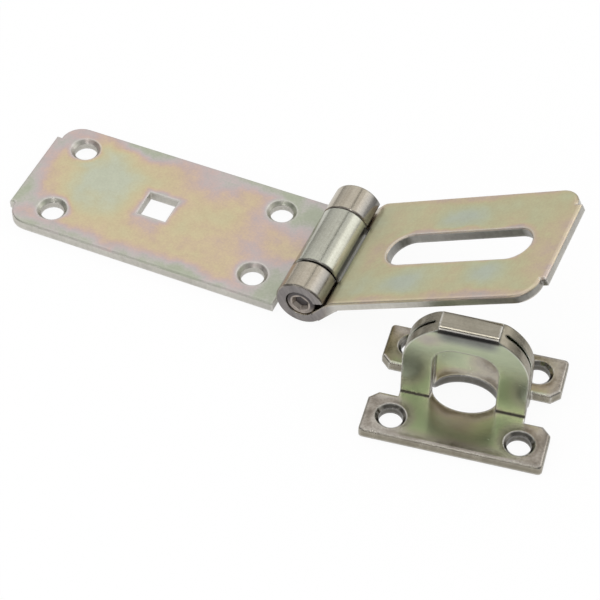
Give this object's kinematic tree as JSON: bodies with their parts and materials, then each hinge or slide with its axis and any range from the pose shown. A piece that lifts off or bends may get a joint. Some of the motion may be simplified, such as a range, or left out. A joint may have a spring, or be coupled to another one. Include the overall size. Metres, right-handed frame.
{
  "type": "safety hasp",
  "caption": "Hinged safety hasp: a screw-on leaf with a square bolt hole, a slotted strap on a rolled-knuckle hinge pin, and a folded staple whose eye takes a padlock through the slot.",
  "frame": {"origin": "centre of the leaf's square bolt hole, on the leaf's back face", "axes": "+X along the leaf towards the strap, +Y across the leaf parallel to the hinge pin, +Z out of the mounting surface"},
  "size_m": [0.1858, 0.0778, 0.0431],
  "materials": {
    "leaf_zinc": "yellow-passivated zinc plate, satin, faintly iridescent",
    "strap_zinc": "yellow-passivated zinc plate, satin, faintly iridescent",
    "pin_steel": "plain grey steel with a punched end",
    "staple_zinc": "yellow-passivated zinc plate, satin, greener and darker"
  },
  "bodies": {
    "leaf": {"mounting_leaf": "leaf_zinc", "staple": "staple_zinc"},
    "strap": {"slotted_strap": "strap_zinc", "hinge_pin": "pin_steel"}
  },
  "joints": [
    {"name": "strap_hinge", "type": "hinge", "parent": "leaf", "child": "strap", "pos_m": [0.05785, 0, 0.00775], "axis": [0, -1, 0], "range_deg": [-27.2, 152.8]}
  ]
}
